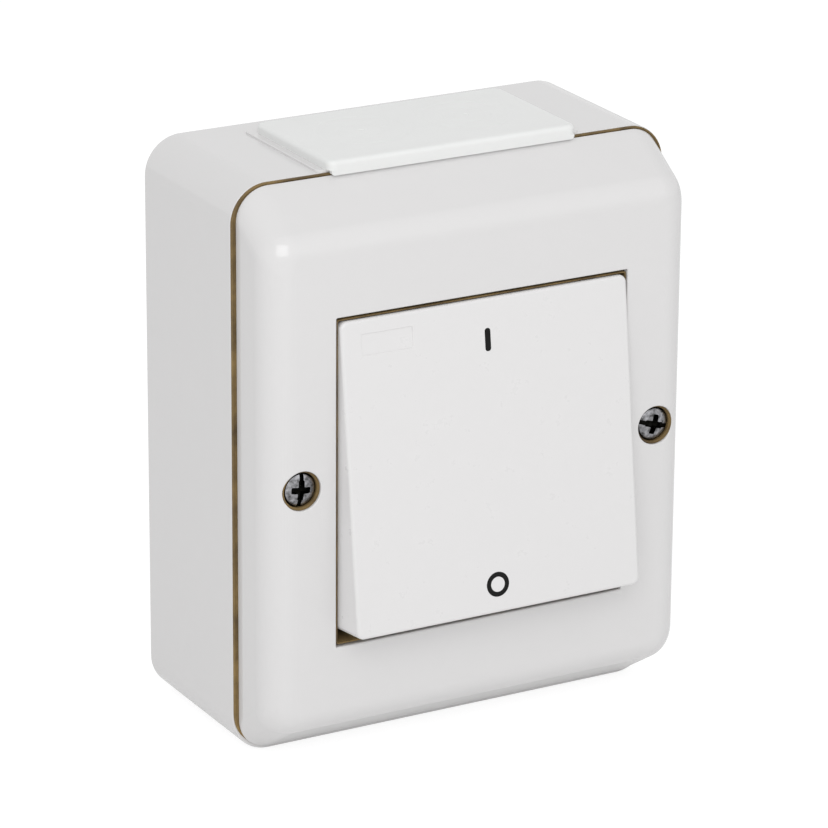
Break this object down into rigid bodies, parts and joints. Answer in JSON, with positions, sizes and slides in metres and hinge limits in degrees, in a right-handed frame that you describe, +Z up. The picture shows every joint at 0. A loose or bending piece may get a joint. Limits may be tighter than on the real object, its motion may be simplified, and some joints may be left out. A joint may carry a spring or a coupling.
{
  "type": "outdoor weatherproof switch",
  "caption": "Surface-mounted weatherproof rocker switch: wall box with slanted cover, sunk cover screws, top cable entries and a square tilting key.",
  "frame": {"origin": "centre of the back face of the box, on the wall", "axes": "+X to the right as seen from the front, +Y into the wall, +Z up"},
  "size_m": [0.0822, 0.0503, 0.102],
  "materials": {
    "housing": "glossy moulded white",
    "entry_plate": "soft moulded white, satin",
    "seal_rubber": "brown rubber, matt",
    "dark_steel": "dark zinc plated",
    "rocker": "satin moulded white",
    "mark_black": "black, matt",
    "insert_plastic": "light grey moulded",
    "steel": "zinc plated",
    "brass": "plain brass",
    "contact_silver": "silver alloy"
  },
  "bodies": {
    "housing": {"rear_box": "housing", "cable_entry_plate": "entry_plate", "box_gasket": "seal_rubber", "front_cover": "housing", "cover_screws": "dark_steel", "cover_screw_seals": "seal_rubber", "rocker_axle": "steel", "bearing_frame": "insert_plastic", "frame_screws": "steel", "rocker_seal": "seal_rubber", "switch_base": "insert_plastic", "base_screws": "steel", "line_strips": "brass", "load_strips": "brass", "fixed_contacts": "contact_silver", "terminal_clamps": "brass", "terminal_screws": "steel", "earth_terminal": "brass", "earth_screw": "steel"},
    "rocker_unit": {"rocker": "rocker", "on_mark": "mark_black", "off_mark": "mark_black", "rocker_cradle": "insert_plastic", "plungers": "insert_plastic", "plunger_springs": "steel"},
    "bridge_left": {"contact_bridge_left": "brass", "moving_contact_left": "contact_silver"},
    "bridge_right": {"contact_bridge_right": "brass", "moving_contact_right": "contact_silver"}
  },
  "joints": [
    {"name": "rocker_tilt", "type": "hinge", "parent": "housing", "child": "rocker_unit", "pos_m": [0, -0.03515, 0], "axis": [1, 0, 0], "range_deg": [0, 13.9]},
    {"name": "bridge_left_tilt", "type": "hinge", "parent": "housing", "child": "bridge_left", "pos_m": [-0.012, -0.01565, 0], "axis": [1, 0, 0], "range_deg": [-13.9, 0]},
    {"name": "bridge_right_tilt", "type": "hinge", "parent": "housing", "child": "bridge_right", "pos_m": [0.012, -0.01565, 0], "axis": [1, 0, 0], "range_deg": [-13.9, 0]}
  ],
  "couplings": [
    {"joint": "bridge_left_tilt", "follows": "rocker_tilt", "ratio": -1},
    {"joint": "bridge_right_tilt", "follows": "rocker_tilt", "ratio": -1}
  ]
}
